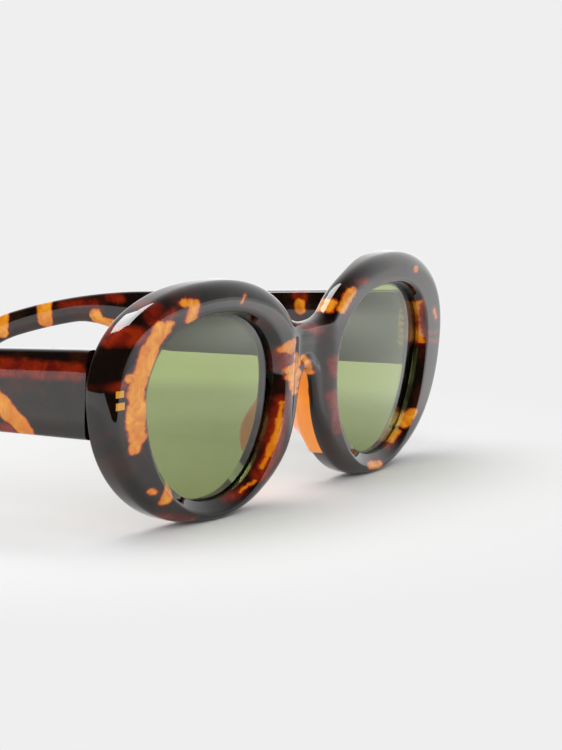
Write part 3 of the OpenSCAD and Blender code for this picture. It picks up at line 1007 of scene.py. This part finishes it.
stroke_tool = stroke_group()
grain_tool = grain_group()
tortoise_tool = tortoise_group()
cloud_tool = cloud_group()


def placed_group(tree, group, **inputs):
    node = tree.nodes.new("ShaderNodeGroup")
    node.node_tree = group
    for name, value in inputs.items():
        if isinstance(value, bpy.types.NodeSocket):
            tree.links.new(value, node.inputs[name])
        else:
            node.inputs[name].default_value = value
    return node.outputs[0]


# Amber and red of the plastic, given as the pixels of the photograph along the middle of each
# patch, and between each two of them the half width there in millimetres; a pixel left of 0 is a guess
# of how a patch runs on past the photograph's edge
right_rim_amber = {
    "long patch, upper half": ((160, 328), 1.0, (156, 338), 1.15, (150, 350), 1.3,
                               (147, 362), 1.2, (143, 372)),
    "long patch, lower half": ((139, 381), 1.2, (136, 395), 1.0, (137, 408), 1.5, (136, 424), 1.2,
                               (138, 438), 0.8, (135, 449)),
    "long patch, spur": ((131, 378), 0.8, (139, 381)),
    "long patch, tip": ((170, 324), 0.5, (163, 336)),
    "hook": ((185, 303), 0.7, (195, 304), 0.7, (191, 321)),
    "brow fleck": ((245, 295), 0.1, (242, 302)),
    "low patch": ((166, 500), 0.8, (168, 489)),
    "low fleck": ((151, 491), 0.3, (154, 493)),
}
nose_amber = {
    "nose crook": ((285, 349), 0.7, (294, 342), 0.7, (291, 350)),
    "flame, top": ((290, 369), 0.9, (296, 366)),
    "flame, middle": ((292, 376), 1.2, (296, 374)),
    "flame, foot": ((293, 384), 1.0, (295, 384)),
    "flame, point": ((294, 390), 0.7, (295, 391)),
    "bridge corner": ((296, 356), 0.6, (298, 364)),
    "bridge sliver": ((303, 358), 0.5, (306, 372)),
    "bevel streak": ((283, 402), 0.1, (280, 420), 0.3, (275, 440), 0.3, (269, 455), 0.1, (262, 468)),
    "bevel foot": ((255, 480), 0.05, (240, 492)),
}
left_rim_amber = {
    "nose corner": ((322, 309), 0.6, (328, 302)),
    "nose patch": ((343, 308), 0.9, (352, 292)),
    "top fleck": ((416, 269), 0.5, (416, 270)),
    "low patch by the temple": ((404, 424), 0.7, (414, 412)),
    "thin streak": ((418, 303), 0.15, (422, 342)),
    "outer fleck": ((434, 310), 0.2, (436, 317)),
    "foot patch": ((371, 465), 0.7, (379, 465)),
    "small low fleck": ((390, 440), 0.5, (396, 432)),
}
front_red = {
    "cloud on the roll": ((118, 337), 1.7, (134, 336)),
    "cloud above the hook": ((153, 306), 0.6, (153, 322)),
    "cloud above the studs": ((119, 387), 0.6, (123, 386)),
    "lower edge": ((152, 516), 0.5, (190, 520)),
    "nose cloud": ((288, 356), 1.2, (293, 357)),
    "bevel by the nose": ((286, 400), 1.2, (273, 455), 1.1, (262, 475)),
    "bevel below": ((240, 492), 0.5, (225, 499)),
    "nose edge": ((283, 350), 0.8, (284, 366)),
    "upper edge": ((160, 322), 0.5, (174, 313)),
    "left rim, top": ((360, 283), 0.6, (366, 281)),
    "left rim, nose side": ((333, 395), 0.9, (338, 430)),
    "left rim, nose side above": ((335, 360), 0.9, (336, 372)),
    "bridge": ((303, 325), 0.7, (318, 330)),
    "round the thin streak": ((418, 303), 0.6, (422, 342)),
    "round the outer fleck": ((434, 309), 0.6, (436, 318)),
    "outer stripe": ((428, 332), 0.3, (437, 332)),
    "outer stripe below": ((429, 340), 0.3, (437, 341)),
    "left rim, low": ((384, 445), 0.7, (390, 440)),
}
right_arm_amber = {
    "long patch": ((-12, 393), 1.8, (3, 405), 1.8, (10, 414), 1.6,
                   (21, 425), 1.4, (27, 432), 1.2, (26, 434)),
}
right_arm_red = {
    "upper band": ((-21, 366), 1.7, (40, 370), 1.7, (77, 372)),
    "lower edge": ((1, 429), 1.2, (9, 431)),
}
left_arm_amber = {
    "first band": ((3, 317), 1.4, (2, 332)),
    "second band": ((45, 304), 1.8, (45, 320)),
    "comma": ((95, 314), 1.4, (99, 321), 1.4, (117, 327)),
    "patch above the bridge": ((299, 303), 1.1, (300, 310)),
}
left_arm_red = {
    "upper edge": ((60, 305), 0.7, (95, 303)),
    "cloud on the upper edge": ((110, 297), 1.1, (120, 299)),
    "cloud above the bridge": ((300, 292), 1.6, (300, 296)),
}
stroke_spread = 0.15

# How much a distance across, in depth and up counts for the strokes
front_pull = (0.52, 0.0, 1.0)
arm_pull = (0.0, 0.9, 1.0)


def strokes(tree, at, pull, surface, patches, soft=0.7):
    """The strongest of the strokes of some patches, each laid where it shows on the piece."""
    mask = None
    for patch in patches.values():
        places = [[p * q / MM for p, q in zip(seen_at(surface, pixel), pull)] for pixel in patch[::2]]
        for start, end, half_width in zip(places, places[1:], patch[1::2]):
            one = placed_group(tree, stroke_tool, Vector=at, Start=start, End=end,
                               Radius=half_width + stroke_spread, Softness=soft)
            mask = one if mask is None else math_node(tree, "MAXIMUM", mask, one)
    return mask


# The two studs that show through the plastic, in millimetres: from and to, across and up
upper_stud = ((-68.7, -66.5), (29.7, 31.1))
lower_stud = ((-68.6, -66.2), (27.2, 28.7))
stud_blur = 0.08


def stud_mask(tree, at, stud):
    """A crisp box seen from the front."""
    side, _, height = parted(tree, at)
    mask = None
    for value, (a, b) in zip((side, height), stud):
        edge = math_node(tree, "MULTIPLY", between(tree, value, a - stud_blur, a + stud_blur),
                         between(tree, value, b - stud_blur, b + stud_blur, 1.0, 0.0))
        mask = edge if mask is None else math_node(tree, "MULTIPLY", mask, edge)
    return mask


def polish(tree, shader, at, rough):
    """The slight waves and haze of tumbled plastic."""
    wave = noise(tree, at, 45, 1)
    haze = noise(tree, at, 320, 3, 0.65)
    bump = tree.nodes.new("ShaderNodeBump")
    bump.inputs["Strength"].default_value = 0.12
    bump.inputs["Distance"].default_value = 0.0006
    tree.links.new(wave.outputs["Fac"], bump.inputs["Height"])
    tree.links.new(bump.outputs["Normal"], shader.inputs["Normal"])
    dull = between(tree, haze.outputs["Fac"], 0.4, 0.8, rough, rough * 2.2)
    tree.links.new(dull, shader.inputs["Roughness"])


def face_depth(tree, at):
    """How far a point lies behind the front's curved face, in millimetres."""
    along = (0.0, math.cos(front_tilt) / MM, math.sin(front_tilt) / MM)
    start = middle_y * math.cos(front_tilt) - stand_height * math.sin(front_tilt)
    flat = math_node(tree, "ADD", vector_node(tree, "DOT_PRODUCT", at, along), start)
    side = parted(tree, at)[0]
    bend = 1 / (2 * front_curve_r * MM ** 2)
    curve = math_node(tree, "MULTIPLY", math_node(tree, "MULTIPLY", side, side), bend)
    return math_node(tree, "SUBTRACT", flat, curve)


cloud_amount = 0.45
cloud_fade = 0.012
left_clouds_from = 0.054
right_clouds_from = -0.036
left_far_from = -1.6
right_far_from = -2.4
far_blur = 1.0
plastic_ior = 1.58
front_rough = 0.035
front_clear = 0.15
arm_rough = 0.04
arm_clear = 0.3


def front_material(piece):
    material, tree, shader = new_material("tortoise front")
    at = coordinates(tree)
    surface = surface_of(piece)
    flat = vector_node(tree, "MULTIPLY", placed_group(tree, grain_tool, Vector=at), front_pull)
    listed = strokes(tree, flat, front_pull, surface, right_rim_amber)
    for patches in (nose_amber, left_rim_amber):
        listed = math_node(tree, "MAXIMUM", listed, strokes(tree, flat, front_pull, surface, patches))
    red = strokes(tree, flat, front_pull, surface, front_red, 0.8)
    back = between(tree, face_depth(tree, at), rim_depth - 0.7, rim_depth - 0.2)
    clouds = math_node(tree, "MULTIPLY", placed_group(tree, cloud_tool, Vector=at, Share=cloud_amount), back)
    amber_mask = math_node(tree, "MAXIMUM", listed, clouds)
    colour = placed_group(tree, tortoise_tool, Vector=at, Amber=amber_mask, Red=red)
    plain = scaled(tree, at, 1 / MM)
    for stud in (upper_stud, lower_stud):
        colour = mix_colour(tree, stud_mask(tree, plain, stud), colour, stud_gold)
    tree.links.new(colour, shader.inputs["Base Color"])
    polish(tree, shader, at, front_rough)
    shader.inputs["IOR"].default_value = plastic_ior
    shader.inputs["Transmission Weight"].default_value = front_clear
    return material


def far_side(tree, at, hand):
    """1 on the side of a temple that the photograph doesn't show."""
    out = (hand * math.cos(temple_splay) / MM, math.sin(temple_splay) / MM, 0.0)
    outward_place = vector_node(tree, "DOT_PRODUCT", at, out)
    from_outer = math_node(tree, "SUBTRACT", outward_place, arm_origin.dot(arm_out))
    if hand > 0:
        return between(tree, from_outer, left_far_from - far_blur, left_far_from)
    return between(tree, from_outer, right_far_from - far_blur, right_far_from, 1.0, 0.0)


def arm_material(piece, hand, amber_patches, red_patches, clouds_from):
    """Strokes near the hinge end, and clouds of amber on the other side and from there to the ear."""
    material, tree, shader = new_material("tortoise arm " + ("left" if hand > 0 else "right"))
    at = coordinates(tree)
    surface = surface_of(piece)
    flat = vector_node(tree, "MULTIPLY", placed_group(tree, grain_tool, Vector=at), arm_pull)
    listed = strokes(tree, flat, arm_pull, surface, amber_patches)
    red = strokes(tree, flat, arm_pull, surface, red_patches)
    beyond = between(tree, parted(tree, at)[1], clouds_from, clouds_from + cloud_fade)
    open_side = math_node(tree, "MAXIMUM", beyond, far_side(tree, at, hand))
    clouds = placed_group(tree, cloud_tool, Vector=at, Share=cloud_amount)
    clouds = math_node(tree, "MULTIPLY", clouds, open_side)
    amber_mask = math_node(tree, "MAXIMUM", listed, clouds)
    colour = placed_group(tree, tortoise_tool, Vector=at, Amber=amber_mask, Red=red)
    tree.links.new(colour, shader.inputs["Base Color"])
    polish(tree, shader, at, arm_rough)
    shader.inputs["IOR"].default_value = plastic_ior
    shader.inputs["Transmission Weight"].default_value = arm_clear
    return material


lens_ior = 1.5
tint_deep = (0.245, 0.305, 0.105)
tint_pale = (0.26, 0.32, 0.12)
groove_shade_tint = (0.02, 0.022, 0.006)


def eye_share(tree, at):
    """How far out a point lies in a lens opening: 0 in its middle and 1 at its edge."""
    side, _, height = parted(tree, at)
    up = math_node(tree, "SUBTRACT", math_node(tree, "DIVIDE", height, MM), stand_height + 0.2)
    out = math_node(tree, "DIVIDE", math_node(tree, "ABSOLUTE", side), MM)
    across = math_node(tree, "SUBTRACT", out, eye_offset)
    across = math_node(tree, "SUBTRACT", across, math_node(tree, "MULTIPLY", up, eye_lean))
    shares = []
    for value, half in ((across, eye_half_w), (up, eye_half_h)):
        share = math_node(tree, "ABSOLUTE", math_node(tree, "DIVIDE", value, half))
        shares.append(math_node(tree, "POWER", share, eye_power))
    return math_node(tree, "ADD", *shares)


def lens_material():
    """Green tint, with painted shade at the very edge, where the lens sits in its groove."""
    material, tree, shader = new_material("green tint")
    at = coordinates(tree)
    haze = noise(tree, at, 25, 1)
    tint = mix_colour(tree, between(tree, haze.outputs["Fac"], 0.3, 0.7), tint_deep, tint_pale)
    # painted shade of the groove: the tint turns nearly black toward the edge of the opening
    tint = mix_colour(tree, between(tree, eye_share(tree, at), 0.90, 0.97), tint, groove_shade_tint)
    tree.links.new(tint, shader.inputs["Base Color"])
    shader.inputs["Roughness"].default_value = 0.0
    shader.inputs["IOR"].default_value = lens_ior
    shader.inputs["Transmission Weight"].default_value = 1.0
    return material


pad_deep = (0.86, 0.28, 0.03)
pad_pale = (0.95, 0.38, 0.07)
pad_painted_glow = (0.85, 0.25, 0.035)


def pad_material():
    """Clear amber plastic, with a faint painted glow: emission that stands in for the light such plastic
    gathers.
    """
    material, tree, shader = new_material("clear amber pad")
    at = coordinates(tree)
    cloud = noise(tree, at, 90, 2)
    tint = mix_colour(tree, between(tree, cloud.outputs["Fac"], 0.3, 0.7), pad_deep, pad_pale)
    tree.links.new(tint, shader.inputs["Base Color"])
    shader.inputs["Roughness"].default_value = 0.12
    shader.inputs["IOR"].default_value = lens_ior
    shader.inputs["Transmission Weight"].default_value = 0.2
    # painted glow: the pad gives off a little light of its own, standing in for light scattered through it
    shader.inputs["Emission Color"].default_value = (*pad_painted_glow, 1)
    shader.inputs["Emission Strength"].default_value = 0.26
    return material


brass_dull = (0.60, 0.35, 0.08)
brass_bright = (0.74, 0.47, 0.13)


def brass_material(name, rough):
    material, tree, shader = new_material(name)
    at = coordinates(tree)
    wear = noise(tree, at, 600, 3)
    colour = mix_colour(tree, between(tree, wear.outputs["Fac"], 0.3, 0.7), brass_dull, brass_bright)
    tree.links.new(colour, shader.inputs["Base Color"])
    shader.inputs["Metallic"].default_value = 1.0
    tree.links.new(between(tree, wear.outputs["Fac"], 0.3, 0.7, rough, rough + 0.15),
                   shader.inputs["Roughness"])
    return material


# Building the pieces

def finish_piece(obj, material, body, node):
    obj.data.materials.clear()
    obj.data.materials.append(material)
    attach(obj, body)
    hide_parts(node)


front = make_front()
finish_piece(front, front_material(front), "front", "front_frame")

green_tint = lens_material()
lens = settle(make_lens(), "green_lens_left")
lens_twin = mirrored(lens, "green_lens_right")
finish_piece(lens, green_tint, "front", "lens_left")
finish_piece(lens_twin, green_tint, "front", "lens_right")

amber_pad = pad_material()
pad = settle(make_pad(), "amber_pad_left")
pad_twin = mirrored(pad, "amber_pad_right")
finish_piece(pad, amber_pad, "front", "nose_pad_left")
finish_piece(pad_twin, amber_pad, "front", "nose_pad_right")

temple = settle(make_temple(), "temple_arm_left")
temple_twin = mirrored(temple, "temple_arm_right")
left_plastic = arm_material(temple, 1, left_arm_amber, left_arm_red, left_clouds_from)
right_plastic = arm_material(temple_twin, -1, right_arm_amber, right_arm_red, right_clouds_from)
finish_piece(temple, left_plastic, "temple_left", "temple_left")
finish_piece(temple_twin, right_plastic, "temple_right", "temple_right")

leaf_brass = brass_material("leaf brass", 0.2)
screw_brass = brass_material("screw brass", 0.3)
for hand in ("left", "right"):
    leaf = make_hinge_piece("front_leaf_" + hand, "rim_plate_" + hand)
    finish_piece(leaf, leaf_brass, "front", "front_leaf_" + hand)
    leaf = make_hinge_piece("temple_leaf_" + hand, "arm_plate_" + hand)
    finish_piece(leaf, leaf_brass, "temple_" + hand, "temple_leaf_" + hand)
    pin = make_hinge_piece("screw_" + hand, "hinge_pin_" + hand)
    finish_piece(pin, screw_brass, "front", "screw_" + hand)


# Floor, backdrop and light

# The white that the camera sees, and a painted reflection that only gloss sees on the sheet: a table with a
# front edge that turns, a painted pool of light beside the glasses and painted dark for a room in front;
# places are in metres and levels in white
paper_white = 0.863
table_front = -0.122
table_turn = 0.62
table_left = -0.42
table_corner = -0.1
dark_slant = 0.55
dark_full = -0.11
dark_end = -0.03
room_radii = (0.12, 0.16)
painted_table_gloss = 1.25
painted_pool_gloss = 0.9
pool_place = (0.26, -0.27, 0.0)
pool_reach = 0.16
room_dark = 0.02
room_white = 1.4
soft_white = 0.72
lit_radius = 0.095
even_radius = 0.17
subject = Vector((0, -0.03, 0.02))
softbox_place = Vector((0.025, 0.125, 0.635))
softbox_size = (0.32, 0.52)
softbox_white = 8.5
fill_size = (0.7, 0.5)
view_away = Vector((-view_back.x, -view_back.y, 0)).normalized()


def make_sweep():
    """A white sheet on the floor, that reaches far behind the glasses."""
    centre = Vector((subject.x, subject.y, 0))
    bpy.ops.mesh.primitive_plane_add(size=1)
    obj = settle(bpy.context.object, "studio_sweep")
    near = 0.5
    far = 1.6
    half = 3.0
    corners = ((-half, -near), (half, -near), (-half, far), (half, far))
    for v, (x, y) in zip(obj.data.vertices, corners):
        v.co = centre + view_right * x + view_away * y
    return obj


def light_path(tree, *names):
    path = tree.nodes.new("ShaderNodeLightPath")
    total = path.outputs[names[0]]
    for name in names[1:]:
        total = math_node(tree, "MAXIMUM", total, path.outputs[name])
    return total


def glow(tree, value):
    node = tree.nodes.new("ShaderNodeEmission")
    node.inputs["Color"].default_value = (value, value, value, 1)
    return node.outputs[0]


def blend_shaders(tree, factor, a, b):
    node = tree.nodes.new("ShaderNodeMixShader")
    tree.links.new(factor, node.inputs[0])
    tree.links.new(a, node.inputs[1])
    tree.links.new(b, node.inputs[2])
    return node.outputs[0]


def painted_reflection_room(tree, at):
    """Painted reflection for gloss: a bright pool to the side, dark where a table ends in front."""
    side, depth, _ = parted(tree, at)
    turn = math_node(tree, "MULTIPLY", math_node(tree, "SUBTRACT", side, table_corner), table_turn)
    front_edge_place = math_node(tree, "ADD", depth, math_node(tree, "MAXIMUM", turn, 0.0))
    off = math_node(tree, "MAXIMUM", math_node(tree, "LESS_THAN", front_edge_place, table_front),
                    math_node(tree, "LESS_THAN", side, table_left))
    beside = math_node(tree, "ADD", side, math_node(tree, "MULTIPLY", depth, dark_slant))
    dark = math_node(tree, "MULTIPLY", off, between(tree, beside, dark_full, dark_end, 1.0, 0.0))
    from_pool = vector_node(tree, "LENGTH", vector_node(tree, "SUBTRACT", at, pool_place))
    bright = between(tree, from_pool, 0.0, pool_reach, painted_table_gloss + painted_pool_gloss, painted_table_gloss)
    level = math_node(tree, "MULTIPLY", bright, math_node(tree, "SUBTRACT", 1.0, dark))
    # painted reflection: an emission that only glossy rays see, with a painted pool of light and painted
    # dark
    room = tree.nodes.new("ShaderNodeEmission")
    tree.links.new(math_node(tree, "ADD", level, room_dark), room.inputs["Strength"])
    away = between(tree, vector_node(tree, "LENGTH", at), *room_radii)
    gone = math_node(tree, "MAXIMUM", dark, away)
    return room.outputs[0], math_node(tree, "MULTIPLY", gone, light_path(tree, "Is Glossy Ray"))


def sheet_material():
    """Lit paper round the glasses, even white far from them, with a painted reflection for their gloss."""
    material, tree, shader = new_material("white sheet")
    shader.inputs["Base Color"].default_value = (0.86, 0.86, 0.86, 1)
    shader.inputs["Roughness"].default_value = 0.9
    shader.inputs["Specular IOR Level"].default_value = 0.0
    at = coordinates(tree)
    far = between(tree, vector_node(tree, "LENGTH", at), lit_radius, even_radius)
    seen = math_node(tree, "MULTIPLY", far, light_path(tree, "Is Camera Ray", "Is Transmission Ray"))
    surface = blend_shaders(tree, seen, shader.outputs[0], glow(tree, paper_white))
    room, share = painted_reflection_room(tree, at)
    surface = blend_shaders(tree, share, surface, room)
    output = next(n for n in tree.nodes if n.type == "OUTPUT_MATERIAL")
    tree.links.new(surface, output.inputs["Surface"])
    return material


def make_softbox(name, place, aim, size, radiance):
    data = bpy.data.lights.new(name, "AREA")
    data.shape = "RECTANGLE"
    data.size, data.size_y = size
    data.energy = radiance * math.pi * size[0] * size[1]
    lamp = bpy.data.objects.new(name, data)
    bpy.context.collection.objects.link(lamp)
    lamp.location = place
    lamp.rotation_euler = (place - aim).to_track_quat("Z", "Y").to_euler()
    return lamp


def backdrop(tree, value, strength=1.0):
    node = tree.nodes.new("ShaderNodeBackground")
    node.inputs["Color"].default_value = (value, value, value, 1)
    node.inputs["Strength"].default_value = strength
    return node


def make_world():
    """White behind the glasses and dark in front of them, as their gloss shows the room."""
    world = bpy.data.worlds.new("studio")
    bpy.context.scene.world = world
    world.use_nodes = True
    tree = world.node_tree
    tree.nodes.clear()
    output = tree.nodes.new("ShaderNodeOutputWorld")
    way = tree.nodes.new("ShaderNodeTexCoord").outputs["Generated"]
    behind = vector_node(tree, "DOT_PRODUCT", way, tuple(view_away))
    gloss = backdrop(tree, 1)
    tree.links.new(between(tree, behind, -0.06, 0.85, room_dark, room_white), gloss.inputs["Strength"])
    soft = backdrop(tree, 1, soft_white)
    white = backdrop(tree, paper_white)
    first = blend_shaders(tree, light_path(tree, "Is Glossy Ray"), soft.outputs[0], gloss.outputs[0])
    seen = light_path(tree, "Is Camera Ray", "Is Transmission Ray")
    tree.links.new(blend_shaders(tree, seen, first, white.outputs[0]), output.inputs["Surface"])


sweep = make_sweep()
sweep.data.materials.append(sheet_material())
make_world()
under_softbox = Vector((softbox_place.x, softbox_place.y, 0))
shine = make_softbox("overhead softbox", softbox_place, under_softbox, softbox_size, softbox_white)
shine.visible_diffuse = False
fills = {
    "overhead fill": (softbox_place, 1.5),
    "front fill": (Vector((-0.62, -0.75, 0.42)), 1.8),
    "side fill": (Vector((-0.75, 0.35, 0.35)), 1.2),
}
for name, (place, radiance) in fills.items():
    fill = make_softbox(name, place, subject, fill_size, radiance)
    fill.visible_glossy = False

bpy.context.scene.view_settings.view_transform = "Standard"
